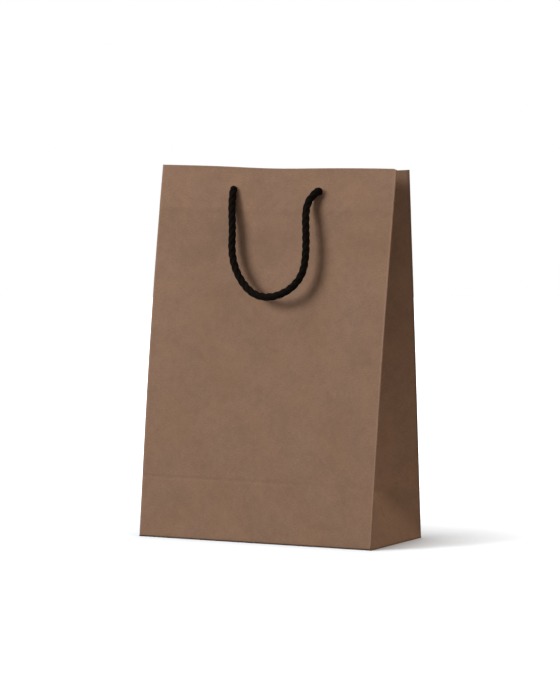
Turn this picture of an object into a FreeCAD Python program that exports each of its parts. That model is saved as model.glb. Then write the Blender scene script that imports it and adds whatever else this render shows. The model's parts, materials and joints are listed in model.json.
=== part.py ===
"""A kraft paper gift bag with rope handles, standing half closed.

The origin is the middle of the base, +Z is up, the front wall faces -Y, and lengths are
millimetres. The pieces of a wall are drawn upright in that wall's own frame, whose origin is
the middle of the wall's bottom crease, and are then leaned in about the crease.
"""

import FreeCAD
import Part
import Sketcher

import math
import os

FRONT = -1
BACK = 1
LEFT = -1
RIGHT = 1
WALL_NAME = {FRONT: "front", BACK: "back"}
END_NAME = {LEFT: "left", RIGHT: "right"}

DIMENSIONS = {
    # the bag
    "bag_width": 220,
    "bag_depth": 100,
    "wall_height": 320,
    "front_inset": 48,
    "back_inset": 26,
    "paper": 0.35,
    # the turned-in top with its card
    "hem_depth": 38,
    "card": 0.9,
    "card_margin": 7,
    "card_drop": 2,
    # the bottom
    "base_card": 1.2,
    "base_card_gap": 2.5,
    "flap_overlap": 10,
    "flap_corner": 20,
    "flap_gap": 0.5,
    "wall_foot": 1.6,
    "triangle_foot": 1.4,
    "triangle_gap": 0.9,
    # the glued side seam
    "seam_width": 18,
    "seam_foot": 60,
    "seam_clearance": 1,
    # the gap that lets a wall swing past a gusset's edge
    "edge_gap": 0.8,
    # the gusset
    "gusset_foot": 3,
    # the rope handles
    "rope_diameter": 6,
    "hole_diameter": 6.6,
    "hole_spacing": 80,
    "hole_below_top": 20,
    "pivot_out": 3.6,
    "knot_length": 10,
    "knot_diameter": 13,
    "knot_grip": 1,
    "tail_length": 20,
}

# A rope loop hangs through these points of its wall: across from the wall's middle, down from
# its top edge, and out from its face. It starts and ends just below the two holes.
FRONT_LOOP = [
    (-40.0, 23.9, 4.0),
    (-37.4, 38.0, 5.6),
    (-34.5, 55.0, 6.9),
    (-33.4, 72.0, 8.3),
    (-29.1, 86.5, 9.4),
    (-21.3, 99.5, 10.6),
    (-10.8, 109.5, 12.2),
    (2.8, 113.4, 13.6),
    (17.4, 111.4, 14.0),
    (30.2, 103.6, 12.6),
    (37.4, 90.5, 11.5),
    (38.2, 75.0, 11.4),
    (36.4, 59.5, 11.3),
    (34.0, 45.0, 10.3),
    (32.5, 32.5, 7.4),
    (37.6, 23.9, 4.0),
]
BACK_LOOP = [
    (-40.0, 23.9, 4.0),
    (-37.8, 38.0, 5.4),
    (-36.4, 55.0, 7.2),
    (-37.0, 73.0, 8.8),
    (-34.6, 88.0, 10.2),
    (-26.0, 101.0, 11.2),
    (-13.0, 110.0, 11.8),
    (2.0, 112.4, 12.0),
    (16.4, 108.6, 11.6),
    (28.4, 99.4, 10.8),
    (35.2, 86.0, 9.6),
    (36.8, 70.0, 8.4),
    (37.2, 54.0, 7.0),
    (38.8, 38.0, 5.2),
    (40.0, 23.9, 4.0),
]
# A bend takes up this share of the shorter run beside it.
LOOP_BEND_SHARE = 0.45

# A gusset's turned-in strip lies between these shares of the half gusset's width, and this
# share of the paper's thickness off it.
GUSSET_HEM_SPAN = (0.22, 0.94)
GUSSET_HEM_LIFT = 0.1

# A gusset twists most just above the mitre creases, so its sections are closer there.
GUSSET_SECTIONS = 5
GUSSET_CROWDING = 1.5

# Derived lengths, as expressions of the driving dimensions.
HALF_WIDTH = "Sizes.bag_width / 2"
HALF_DEPTH = "Sizes.bag_depth / 2"
HEM_FOOT = "(Sizes.wall_height - Sizes.hem_depth)"
CARD_EDGE = "(Sizes.bag_width / 2 - Sizes.card_margin)"
HOLE_HEIGHT = "(Sizes.wall_height - Sizes.hole_below_top)"
LAYERS = "(2 * Sizes.paper + Sizes.card)"
LEAN = {
    FRONT: "asin(Sizes.front_inset / Sizes.wall_height)",
    BACK: "asin(Sizes.back_inset / Sizes.wall_height)",
}

doc = FreeCAD.newDocument("gift_bag")
sheet = doc.addObject("Spreadsheet::Sheet", "Sizes")
sub_parts = []


def fill_sheet():
    """Writes each driving dimension to the spreadsheet, with its name as the cell's alias."""
    for row, (name, value) in enumerate(DIMENSIONS.items(), start=1):
        sheet.set(f"A{row}", name)
        sheet.set(f"B{row}", str(value))
        sheet.setAlias(f"B{row}", name)
    doc.recompute()


def size(name):
    """The value of one driving dimension."""
    return float(sheet.get(name))


def worth(expression):
    """The number that an expression gives."""
    value = sheet.evalExpression(expression.replace("Sizes.", ""))
    return float(getattr(value, "Value", value))


def keep(item, label):
    """Makes an object a sub-part, with the label that names its file."""
    item.Label = label
    sub_parts.append(item)
    return item


# ---- sketches, pads and pockets ----------------------------------------------------------


def new_sketch(body, name, role, lift=None):
    """A sketch on one of the body's origin planes, lifted along that plane's normal."""
    sketch = body.newObject("Sketcher::SketchObject", name)
    plane = next(item for item in body.Origin.OriginFeatures if item.Role == role)
    sketch.AttachmentSupport = (plane, [""])
    sketch.MapMode = "FlatFace"
    if lift:
        sketch.setExpression("AttachmentOffset.Base.z", lift)
    return sketch


def bound(sketch, kind, curve, vertex, expression):
    """Holds one coordinate of a sketch's point at an expression."""
    constraint = Sketcher.Constraint(kind, curve, vertex, worth(expression))
    index = sketch.addConstraint(constraint)
    sketch.setExpression(f"Constraints[{index}]", expression)


def outline(body, name, role, points, lift=None):
    """A closed polygon, whose corners are pairs of expressions."""
    sketch = new_sketch(body, name, role, lift)
    corners = [FreeCAD.Vector(worth(across), worth(up), 0) for across, up in points]
    count = len(corners)
    for index in range(count):
        line = Part.LineSegment(corners[index], corners[(index + 1) % count])
        sketch.addGeometry(line, False)
    for index in range(count):
        joined = Sketcher.Constraint("Coincident", index, 2, (index + 1) % count, 1)
        sketch.addConstraint(joined)
    for index, (across, up) in enumerate(points):
        bound(sketch, "DistanceX", index, 1, across)
        bound(sketch, "DistanceY", index, 1, up)
    return sketch


def pad(body, sketch, length, reverse=False, side="One side"):
    """Pads a sketch by a length, given as an expression."""
    feature = body.newObject("PartDesign::Pad", "Pad")
    feature.Profile = sketch
    feature.SideType = side
    feature.Reversed = reverse
    feature.setExpression("Length", length)
    return feature


def punch_holes(body):
    """Cuts the two rope holes through a piece of a wall."""
    sketch = new_sketch(body, "HoleCentres", "XZ_Plane")
    for index, end in enumerate((LEFT, RIGHT)):
        across = f"{end} * Sizes.hole_spacing / 2"
        centre = FreeCAD.Vector(worth(across), worth(HOLE_HEIGHT), 0)
        circle = Part.Circle(centre, FreeCAD.Vector(0, 0, 1), size("hole_diameter") / 2)
        sketch.addGeometry(circle, False)
        bound(sketch, "DistanceX", index, 3, across)
        bound(sketch, "DistanceY", index, 3, HOLE_HEIGHT)
        diameter = Sketcher.Constraint("Diameter", index, size("hole_diameter"))
        number = sketch.addConstraint(diameter)
        sketch.setExpression(f"Constraints[{number}]", "Sizes.hole_diameter")
    doc.recompute()
    before = body.Shape.Volume
    pocket = body.newObject("PartDesign::Pocket", "RopeHoles")
    pocket.Profile = sketch
    pocket.Type = "ThroughAll"
    pocket.SideType = "Symmetric"
    doc.recompute()
    if body.Shape.Volume >= before:
        raise RuntimeError(f"{body.Label}: the rope holes cut nothing")


def new_body(label):
    """A PartDesign body that is a sub-part."""
    return keep(doc.addObject("PartDesign::Body", label), label)


def rectangle(left, right, low, high):
    """The corners of a rectangle, as pairs of expressions."""
    return [(left, low), (right, low), (right, high), (left, high)]


# ---- the walls and what is glued to them -------------------------------------------------


def lean(item, wall):
    """Stands a piece on its wall's bottom crease and leans it in."""
    axis = FreeCAD.Vector(wall, 0, 0)
    item.Placement = FreeCAD.Placement(FreeCAD.Vector(), FreeCAD.Rotation(axis, 1))
    item.setExpression("Placement.Base.y", f"{wall} * {HALF_DEPTH}")
    item.setExpression("Placement.Rotation.Angle", LEAN[wall])


def wall_plate(label, wall, corners, depth, thickness):
    """A flat piece of a wall, as deep in from the wall's face as the expression says."""
    body = new_body(label)
    sketch = outline(body, "Outline", "XZ_Plane", corners, f"{wall} * {depth}")
    pad(body, sketch, thickness, reverse=wall == FRONT)
    return body


def wall_sheet(wall):
    """The paper of a wall, from its bottom crease to its top fold."""
    label = f"{WALL_NAME[wall]}_wall"
    corners = rectangle(
        f"-{HALF_WIDTH}", HALF_WIDTH, "Sizes.wall_foot", "Sizes.wall_height"
    )
    body = wall_plate(label, wall, corners, "0", "Sizes.paper")
    punch_holes(body)
    lean(body, wall)


def top_card(wall):
    """The board that stiffens the top, under the turned-in paper."""
    label = f"{WALL_NAME[wall]}_top_card"
    low = f"{HEM_FOOT} + Sizes.card_drop"
    corners = rectangle(
        f"-{CARD_EDGE}", CARD_EDGE, low, "Sizes.wall_height - Sizes.paper"
    )
    body = wall_plate(label, wall, corners, "Sizes.paper", "Sizes.card")
    punch_holes(body)
    lean(body, wall)


def top_hem(wall):
    """The paper turned in over the card: a narrow top and a leg down the inside."""
    body = new_body(f"{WALL_NAME[wall]}_hem")
    inward = -wall
    outer = f"{inward} * Sizes.paper"
    middle = f"{inward} * (Sizes.paper + Sizes.card)"
    inner = f"{inward} * {LAYERS}"
    under = "Sizes.wall_height - Sizes.paper"
    corners = [
        (outer, "Sizes.wall_height"),
        (inner, "Sizes.wall_height"),
        (inner, HEM_FOOT),
        (middle, HEM_FOOT),
        (middle, under),
        (outer, under),
    ]
    sketch = outline(body, "Section", "YZ_Plane", corners)
    pad(body, sketch, f"2 * {CARD_EDGE}", side="Symmetric")
    punch_holes(body)
    lean(body, wall)


def side_seam():
    """The strip of the left gusset that is glued inside the back wall's edge."""
    left = f"-{HALF_WIDTH} + Sizes.edge_gap"
    corners = rectangle(
        left,
        f"{left} + Sizes.seam_width",
        "Sizes.seam_foot",
        f"{HEM_FOOT} - Sizes.seam_clearance",
    )
    body = wall_plate("side_seam_flap", BACK, corners, "Sizes.paper", "Sizes.paper")
    lean(body, BACK)


# ---- the bottom --------------------------------------------------------------------------


def bottom_front_flap():
    """The outermost flap, folded in from the front crease."""
    body = new_body("bottom_front_flap")
    reach = "Sizes.flap_overlap"
    taper = f"({HALF_WIDTH} - {HALF_DEPTH} - {reach})"
    corners = [
        (f"-{HALF_WIDTH}", f"-{HALF_DEPTH}"),
        (HALF_WIDTH, f"-{HALF_DEPTH}"),
        (taper, reach),
        (f"-{taper}", reach),
    ]
    pad(body, outline(body, "Outline", "XY_Plane", corners), "Sizes.paper")


def bottom_back_flap():
    """The flap from the back crease, which steps up under the front flap's edge."""
    body = new_body("bottom_back_flap")
    step = "(Sizes.flap_overlap + Sizes.flap_gap)"
    end = "(-Sizes.flap_overlap)"
    corners = [
        (HALF_DEPTH, "0"),
        (HALF_DEPTH, "Sizes.paper"),
        (f"{step} + Sizes.paper", "Sizes.paper"),
        (f"{step} + Sizes.paper", "2 * Sizes.paper"),
        (end, "2 * Sizes.paper"),
        (end, "Sizes.paper"),
        (step, "Sizes.paper"),
        (step, "0"),
    ]
    sketch = outline(body, "Section", "YZ_Plane", corners)
    pad(body, sketch, "Sizes.bag_width - 2 * Sizes.flap_corner", side="Symmetric")


def bottom_side_flap(end):
    """The first flap to be folded in, from an end of the bag."""
    body = new_body(f"bottom_{END_NAME[end]}_flap")
    crease = f"{end} * {HALF_WIDTH}"
    edge = f"({HALF_DEPTH} - 2 * Sizes.flap_gap)"
    tip = f"{end} * ({HALF_WIDTH} - {HALF_DEPTH})"
    shoulder = f"{end} * ({HALF_WIDTH} - {HALF_DEPTH} + Sizes.flap_corner)"
    corners = [
        (crease, f"-{edge}"),
        (crease, edge),
        (shoulder, edge),
        (tip, f"{edge} - Sizes.flap_corner"),
        (tip, f"-{edge} + Sizes.flap_corner"),
        (shoulder, f"-{edge}"),
    ]
    sketch = outline(body, "Outline", "XY_Plane", corners, "2 * Sizes.paper")
    pad(body, sketch, "Sizes.paper")


def base_card():
    """The board that is glued over the flaps, inside the bag."""
    body = new_body("base_card")
    across = f"({HALF_WIDTH} - Sizes.base_card_gap)"
    along = f"({HALF_DEPTH} - Sizes.base_card_gap)"
    corners = rectangle(f"-{across}", across, f"-{along}", along)
    sketch = outline(body, "Outline", "XY_Plane", corners, "3 * Sizes.paper")
    pad(body, sketch, "Sizes.base_card")


def base_triangle(end):
    """The triangle of a gusset between its base crease and its two mitre creases."""
    body = new_body(f"{END_NAME[end]}_base_triangle")
    foot = "Sizes.triangle_foot"
    edge = f"({HALF_DEPTH} - {foot} - Sizes.triangle_gap)"
    shift = f"(Sizes.front_inset - Sizes.back_inset) / 2 * {HALF_DEPTH} / Sizes.wall_height"
    tip = f"({HALF_DEPTH} - Sizes.triangle_gap)"
    corners = [(f"-{edge}", foot), (edge, foot), (shift, tip)]
    sketch = outline(body, "Outline", "YZ_Plane", corners)
    pad(body, sketch, "Sizes.paper", reverse=end == RIGHT)
    closing = "(Sizes.front_inset + Sizes.back_inset) / 2 / Sizes.wall_height"
    axis = FreeCAD.Vector(0, -end, 0)
    body.Placement = FreeCAD.Placement(FreeCAD.Vector(), FreeCAD.Rotation(axis, 1))
    body.setExpression("Placement.Base.x", f"{end} * {HALF_WIDTH}")
    body.setExpression("Placement.Rotation.Angle", f"acos(1 / (1 + {closing}))")


# ---- the gussets -------------------------------------------------------------------------


def wall_slope(wall):
    """How far a wall leans in for each millimetre of height."""
    return math.tan(math.radians(worth(LEAN[wall])))


def wall_inside(wall, height):
    """Where a gusset's edge meets a wall's inner face, with the gap that it swings by."""
    clear = size("paper") + size("edge_gap")
    away = clear / math.cos(math.radians(worth(LEAN[wall])))
    return wall * (size("bag_depth") / 2 - height * wall_slope(wall) - away)


def half_opening(height):
    """Half of the space between the walls at a height."""
    return (wall_inside(BACK, height) - wall_inside(FRONT, height)) / 2


def middle(height):
    """The plane halfway between the walls at a height."""
    return (wall_inside(BACK, height) + wall_inside(FRONT, height)) / 2


def apex_height():
    """Where the mitre creases meet: as high above the bottom crease as the walls are apart."""
    slope = (wall_slope(FRONT) + wall_slope(BACK)) / 2
    return half_opening(0) / (1 + slope)


def crease_depth(height):
    """How far the gusset's centre crease is folded in at a height."""
    return math.sqrt((size("bag_depth") / 2) ** 2 - half_opening(height) ** 2)


def gusset_points(wall, height):
    """The four corners of a half gusset's section, as distances in from the end and along Y:
    the inner and outer corner at the wall, then the outer and inner corner at the crease."""
    start = wall_inside(wall, height)
    apex = apex_height()
    if height < apex:
        share = height / apex
        corner = wall * size("bag_depth") / 2
        depth = crease_depth(apex) * share
        crease = corner + (middle(apex) - corner) * share
    else:
        depth = crease_depth(height)
        crease = middle(height)
    rise = abs(crease - start)
    length = math.hypot(depth, rise)
    at_wall = size("paper") * length / depth
    at_crease = size("paper") * length / rise
    return [
        (0, start),
        (0, start - wall * at_wall),
        (depth, crease),
        (depth + at_crease, crease),
    ]


def top_height():
    """The height of the gussets' top edge, which is the lower wall's."""
    return min(size("wall_height") * math.cos(math.radians(worth(LEAN[w]))) for w in LEAN)


def ruled_solid(sections):
    """A solid through closed polygons, with straight lines between their matching corners."""
    wires = [Part.makePolygon(points + points[:1]) for points in sections]
    return Part.makeLoft(wires, True, True)


def placed(end, points, height):
    """Points given as distances in from an end of the bag and along Y, at a height."""
    half_width = size("bag_width") / 2
    return [FreeCAD.Vector(end * (half_width - inward), y, height) for inward, y in points]


def upper_heights():
    """The heights where a gusset's sections are taken above the mitre creases."""
    hem_foot = top_height() - size("hem_depth")
    first = apex_height()
    shares = [(step / GUSSET_SECTIONS) ** GUSSET_CROWDING for step in range(GUSSET_SECTIONS + 1)]
    return [first + (hem_foot - first) * share for share in shares] + [top_height()]


def half_gusset(end, wall):
    """Half of a gusset, from its centre crease to one wall, with the corner below the mitre."""
    heights = [size("gusset_foot")] + upper_heights()
    sections = [placed(end, gusset_points(wall, height), height) for height in heights]
    item = doc.addObject("Part::Feature", "HalfGusset")
    item.Shape = ruled_solid(sections)
    keep(item, f"{END_NAME[end]}_gusset_{WALL_NAME[wall]}")


def hem_points(wall, height):
    """A gusset hem's section: a strip glued to the inner side of a half gusset."""
    corners = gusset_points(wall, height)
    near = corners[0]
    far = corners[3]
    across = far[0] - near[0]
    along = far[1] - near[1]
    length = math.hypot(across, along)
    inner_side = (-abs(along) / length, wall * across / length)

    def at(share, layers):
        offset = layers * size("paper")
        x = near[0] + across * share + inner_side[0] * offset
        y = near[1] + along * share + inner_side[1] * offset
        return (x, y)

    start, end = GUSSET_HEM_SPAN
    low, high = GUSSET_HEM_LIFT, GUSSET_HEM_LIFT + 1
    return [at(start, low), at(end, low), at(end, high), at(start, high)]


def gusset_hem(end):
    """The turned-in top of a gusset: one strip on each half."""
    top = top_height()
    strips = []
    for wall in (FRONT, BACK):
        heights = (top - size("hem_depth"), top)
        sections = [placed(end, hem_points(wall, height), height) for height in heights]
        strips.append(ruled_solid(sections))
    item = doc.addObject("Part::Feature", "GussetHem")
    item.Shape = Part.makeCompound(strips)
    keep(item, f"{END_NAME[end]}_gusset_hem")


# ---- the rope handles --------------------------------------------------------------------


def on_hole_axis(item, wall, end, depth):
    """Puts an object on a rope hole's axis, at a distance in from the wall's face."""
    item.setExpression("Placement.Base.x", f"{end} * Sizes.hole_spacing / 2")
    item.setExpression("Placement.Base.y", f"{-wall} * ({depth})")
    item.setExpression("Placement.Base.z", HOLE_HEIGHT)


def fused(label, wall, first, second):
    """Two primitives as one sub-part of a wall."""
    item = doc.addObject("Part::Fuse", "Fused")
    item.Base = first
    item.Tool = second
    lean(item, wall)
    return keep(item, label)


def rope_end(wall, end):
    """The rope in its hole, from inside the knot to the round end that the loop swings on."""
    grip = f"{LAYERS} + Sizes.knot_grip"
    rod = doc.addObject("Part::Cylinder", "Rod")
    turn = FreeCAD.Rotation(FreeCAD.Vector(1, 0, 0), 90 * wall)
    rod.Placement = FreeCAD.Placement(FreeCAD.Vector(), turn)
    rod.setExpression("Radius", "Sizes.rope_diameter / 2")
    rod.setExpression("Height", f"{grip} + Sizes.pivot_out")
    on_hole_axis(rod, wall, end, "-Sizes.pivot_out")
    ball = doc.addObject("Part::Sphere", "Ball")
    ball.setExpression("Radius", "Sizes.rope_diameter / 2")
    on_hole_axis(ball, wall, end, "-Sizes.pivot_out")
    fused(f"{WALL_NAME[wall]}_{END_NAME[end]}_rope_end", wall, rod, ball)


def knot(wall, end):
    """The knot behind the hole, with the rope's short tail hanging from it."""
    middle_depth = f"{LAYERS} + Sizes.knot_length / 2"
    bulk = doc.addObject("Part::Ellipsoid", "Bulk")
    turn = FreeCAD.Rotation(FreeCAD.Vector(1, 0, 0), 90)
    bulk.Placement = FreeCAD.Placement(FreeCAD.Vector(), turn)
    bulk.setExpression("Radius1", "Sizes.knot_length / 2")
    bulk.setExpression("Radius2", "Sizes.knot_diameter / 2")
    bulk.setExpression("Radius3", "Sizes.knot_diameter / 2")
    on_hole_axis(bulk, wall, end, middle_depth)
    tail = doc.addObject("Part::Cylinder", "Tail")
    tail.setExpression("Radius", "Sizes.rope_diameter / 2")
    tail.setExpression("Height", "Sizes.tail_length")
    on_hole_axis(tail, wall, end, middle_depth)
    tail.setExpression("Placement.Base.z", f"{HOLE_HEIGHT} - Sizes.tail_length")
    fused(f"{WALL_NAME[wall]}_{END_NAME[end]}_knot", wall, bulk, tail)


def rounded_path(points, label):
    """Straight runs joined by tangent arcs, each as large as its two runs allow."""
    edges = []
    radii = []
    start = points[0]
    for index in range(1, len(points) - 1):
        corner = points[index]
        back = points[index - 1] - corner
        ahead = points[index + 1] - corner
        shorter = min(back.Length, ahead.Length)
        set_back = LOOP_BEND_SHARE * shorter
        half_turn = (-back).getAngle(ahead) / 2
        radius = set_back / math.tan(half_turn)
        radii.append(radius)
        back.normalize()
        ahead.normalize()
        first = corner + back * set_back
        last = corner + ahead * set_back
        inward = back + ahead
        inward.normalize()
        to_middle = radius / math.cos(half_turn) - radius
        edges.append(Part.LineSegment(start, first).toShape())
        edges.append(Part.Arc(first, corner + inward * to_middle, last).toShape())
        start = last
    edges.append(Part.LineSegment(start, points[-1]).toShape())
    print(label, "tightest bend", round(min(radii), 1))
    return Part.Wire(edges)


def handle_loop(wall, route):
    """The rope that hangs outside a wall, from one hole to the other."""
    height = size("wall_height")
    points = [FreeCAD.Vector(x, wall * out, height - down) for x, down, out in route]
    label = f"{WALL_NAME[wall]}_handle_rope"
    path = rounded_path(points, label)
    radius = size("rope_diameter") / 2
    circle = Part.makeCircle(radius, points[0], points[1] - points[0])
    tube = path.makePipeShell([Part.Wire([circle])], True, True)
    expected = path.Length * math.pi * radius**2
    share = tube.Volume / expected
    print(label, "length", round(path.Length, 1), "volume share", round(share, 4))
    item = doc.addObject("Part::Feature", "Loop")
    item.Shape = tube
    lean(item, wall)
    keep(item, label)


# ---- the whole bag -----------------------------------------------------------------------


def build():
    """Makes every sub-part."""
    fill_sheet()
    for wall in (FRONT, BACK):
        wall_sheet(wall)
        top_card(wall)
        top_hem(wall)
    side_seam()
    bottom_front_flap()
    bottom_back_flap()
    base_card()
    for end in (LEFT, RIGHT):
        bottom_side_flap(end)
        base_triangle(end)
        half_gusset(end, FRONT)
        half_gusset(end, BACK)
        gusset_hem(end)
    for wall, route in ((FRONT, FRONT_LOOP), (BACK, BACK_LOOP)):
        handle_loop(wall, route)
        for end in (LEFT, RIGHT):
            rope_end(wall, end)
            knot(wall, end)
    doc.recompute()


def check():
    """Stops if any object failed, or any sub-part's shape is missing or not valid."""
    for item in doc.Objects:
        if "Invalid" in item.State or "Error" in item.State:
            raise RuntimeError(f"{item.Label} failed: {item.State}")
    for item in sub_parts:
        if item.Shape.isNull() or not item.Shape.isValid():
            raise RuntimeError(f"{item.Label} has no valid shape")


def write():
    """Writes each sub-part to its own STEP file."""
    os.makedirs("parts", exist_ok=True)
    for item in sub_parts:
        item.Shape.exportStep(f"parts/{item.Label}.step")
        print(item.Label, round(item.Shape.Volume, 1))


build()
check()
write()
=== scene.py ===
"""The looks of a kraft paper gift bag with rope handles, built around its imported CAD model."""

import json
import math

import bmesh
import bpy
import numpy as np
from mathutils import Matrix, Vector


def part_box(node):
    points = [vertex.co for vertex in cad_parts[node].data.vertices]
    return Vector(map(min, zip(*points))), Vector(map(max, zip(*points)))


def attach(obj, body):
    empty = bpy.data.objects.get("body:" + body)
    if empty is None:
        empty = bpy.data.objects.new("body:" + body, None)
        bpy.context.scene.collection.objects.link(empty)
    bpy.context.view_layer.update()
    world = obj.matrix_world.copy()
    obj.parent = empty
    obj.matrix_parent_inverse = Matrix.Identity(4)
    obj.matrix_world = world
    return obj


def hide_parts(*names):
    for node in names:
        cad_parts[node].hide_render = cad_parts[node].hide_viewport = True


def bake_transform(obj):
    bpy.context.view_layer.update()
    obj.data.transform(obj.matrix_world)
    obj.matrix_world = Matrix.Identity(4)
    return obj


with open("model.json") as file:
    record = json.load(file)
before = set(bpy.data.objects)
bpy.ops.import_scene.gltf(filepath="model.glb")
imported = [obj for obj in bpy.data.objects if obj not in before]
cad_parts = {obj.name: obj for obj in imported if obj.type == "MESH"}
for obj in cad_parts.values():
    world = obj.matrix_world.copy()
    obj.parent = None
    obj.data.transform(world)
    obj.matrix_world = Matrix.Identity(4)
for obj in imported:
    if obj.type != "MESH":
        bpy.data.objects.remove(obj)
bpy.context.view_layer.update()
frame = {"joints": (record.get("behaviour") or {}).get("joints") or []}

MM = 0.001
FRONT = -1
BACK = 1
LEFT = -1
RIGHT = 1
WALL_NAME = {FRONT: "front", BACK: "back"}
END_NAME = {LEFT: "left", RIGHT: "right"}

# ---- sizes, in metres ----

JOINTS = {joint["name"]: joint for joint in frame["joints"]}
HALF_DEPTH = JOINTS["back_wall_open"]["pos_m"][1]
HALF_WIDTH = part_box("front_wall")[1].x
FRONT_LEAN = math.radians(JOINTS["front_wall_open"]["range_deg"][1])
BACK_LEAN = math.radians(JOINTS["back_wall_open"]["range_deg"][1])
WALL_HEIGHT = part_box("front_wall")[1].z / math.cos(FRONT_LEAN)
BACK_SHORT = 3.7 * MM  # how much shorter the back wall is than the front one
PAPER = 0.35 * MM
CARD = 0.9 * MM
RIM = 2 * PAPER + CARD  # how thick a wall is at its turned-in top
HEM_DEPTH = 38 * MM
BASE_CREASE = 52 * MM
FOLD_RADIUS = 0.6 * MM
BOTTOM_RADIUS = 1.8 * MM  # of the fold that the walls stand on
HOLE_ACROSS = 40 * MM
HOLE_DOWN = 20 * MM
HOLE_UP = WALL_HEIGHT - HOLE_DOWN
HOLE_RADIUS = 3.0 * MM
ROPE = 6 * MM

# The rope loops' routes: across from the wall's middle, down from its top edge and out from
# its face.
FRONT_LOOP = [
    (-0.0400, 0.0239, 0.0040),
    (-0.0382, 0.0380, 0.0056),
    (-0.0353, 0.0550, 0.0069),
    (-0.0342, 0.0720, 0.0083),
    (-0.0298, 0.0865, 0.0094),
    (-0.0218, 0.0990, 0.0106),
    (-0.0108, 0.1088, 0.0122),
    (0.0024, 0.1127, 0.0136),
    (0.0166, 0.1104, 0.0140),
    (0.0290, 0.1026, 0.0126),
    (0.0364, 0.0905, 0.0115),
    (0.0376, 0.0750, 0.0114),
    (0.0364, 0.0595, 0.0113),
    (0.0340, 0.0450, 0.0103),
    (0.0325, 0.0325, 0.0074),
    (0.0358, 0.0234, 0.0044),
]
BACK_LOOP = [
    (-0.0400, 0.0239, 0.0040),
    (-0.0378, 0.0380, 0.0054),
    (-0.0364, 0.0550, 0.0072),
    (-0.0370, 0.0730, 0.0088),
    (-0.0346, 0.0880, 0.0102),
    (-0.0260, 0.1010, 0.0112),
    (-0.0130, 0.1100, 0.0118),
    (0.0020, 0.1124, 0.0120),
    (0.0164, 0.1086, 0.0116),
    (0.0284, 0.0994, 0.0108),
    (0.0352, 0.0860, 0.0096),
    (0.0368, 0.0700, 0.0084),
    (0.0372, 0.0540, 0.0070),
    (0.0388, 0.0380, 0.0052),
    (0.0400, 0.0239, 0.0040),
]


class Wall:
    """One wall of the bag. A place on it is across from its middle, up from its bottom crease
    along the paper, and out from its face."""

    def __init__(self, side, lean, height):
        self.side = side
        self.name = WALL_NAME[side]
        self.lean = lean
        self.height = height

    def place(self, across, up, out):
        """The point of the frame at a place on the wall."""
        along = out * math.cos(self.lean) - up * math.sin(self.lean)
        rise = up * math.cos(self.lean) + out * math.sin(self.lean)
        return Vector((across, self.side * (HALF_DEPTH + along), rise))

    def face_y(self, height):
        """Where the wall's face is at a height."""
        return self.side * (HALF_DEPTH - height * math.tan(self.lean))


WALLS = {
    FRONT: Wall(FRONT, FRONT_LEAN, WALL_HEIGHT),
    BACK: Wall(BACK, BACK_LEAN, WALL_HEIGHT - BACK_SHORT),
}


# ---- the way the paper bends ----

# How far the walls bow and sway out from flat.
WALL_BOW = 1.6 * MM
EDGE_BOW_TURN = 0.78 * math.pi
FRONT_LEFT_BOW = 5.8 * MM
FRONT_RIGHT_BOW = 2.4 * MM
FRONT_RIGHT_PULL = 1.5 * MM
BACK_RIGHT_BOW = 1.1 * MM
WIDE_SWAY = 0.45 * MM
CLOSE_SWAY = 0.12 * MM

# How far their top edges sag and rise.
FRONT_SAG = 1.0 * MM
FRONT_SAG_MIDDLE = -8 * MM
FRONT_SAG_REACH = 38 * MM
FRONT_RIGHT_RISE = 0.9 * MM
CORNER_DROOP = 0.9 * MM
CORNER_REACH = 3 * MM
BACK_SAG = 2.2 * MM
BACK_SAG_REACH = 16 * MM

# How deep and wide the pressed lines are, and how high the card and the holes lift the paper.
PRESS_REACH = 2.4 * MM
BASE_PRESS = 0.11 * MM
MITRE_PRESS = 0.09 * MM
CARD_STEP = 0.3 * MM
STEP_BELOW = 4 * MM
STEP_ABOVE = 3 * MM
PUCKER = 0.35 * MM
PUCKER_REACH = 5 * MM


def hump(value, centre, width):
    """1 at the centre, falling smoothly to 0 at a width from it."""
    reach = min(1.0, abs(value - centre) / width)
    return (1 - reach * reach) ** 2


def ramp(value, start, end):
    """0 before start, 1 after end, smooth between."""
    share = min(1.0, max(0.0, (value - start) / (end - start)))
    return share * share * (3 - 2 * share)


def sway(across, up, seed):
    """The unevenness of a handled sheet: two long waves and two short ones, whose turns are in
    radians for each metre."""
    wide = math.sin(across * 31 + up * 9 + seed) * math.sin(up * 17 - across * 8 + 2 * seed)
    close = math.sin(across * 83 - up * 37 + 3 * seed) * math.sin(up * 61 + across * 24 + seed)
    return wide * WIDE_SWAY + close * CLOSE_SWAY


def bow(wall, across, up):
    """How far a wall bows out from flat. Its side edges are pushed out too, the front wall's
    left one most, and the front wall's right edge is pulled in again at its top."""
    height = min(1.0, up / wall.height)
    middle = math.sin(math.pi * height) ** 1.5
    inner = 1 - (across / HALF_WIDTH) ** 2
    soft = 1 - 0.7 * ramp(up, wall.height - 1.6 * HEM_DEPTH, wall.height - HEM_DEPTH)
    soft *= ramp(up, 0, BASE_CREASE)
    out = (middle * WALL_BOW + sway(across, up, wall.side) * soft) * inner
    left = ramp(-across, -0.15 * HALF_WIDTH, HALF_WIDTH)
    right = ramp(across, -0.3 * HALF_WIDTH, HALF_WIDTH)
    if wall.side == FRONT:
        out += left * math.sin(EDGE_BOW_TURN * height) * FRONT_LEFT_BOW
        out += right * (math.sin(math.pi * height) * FRONT_RIGHT_BOW - height**3 * FRONT_RIGHT_PULL)
    else:
        out += right * math.sin(EDGE_BOW_TURN * height) * BACK_RIGHT_BOW
    return out


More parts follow.
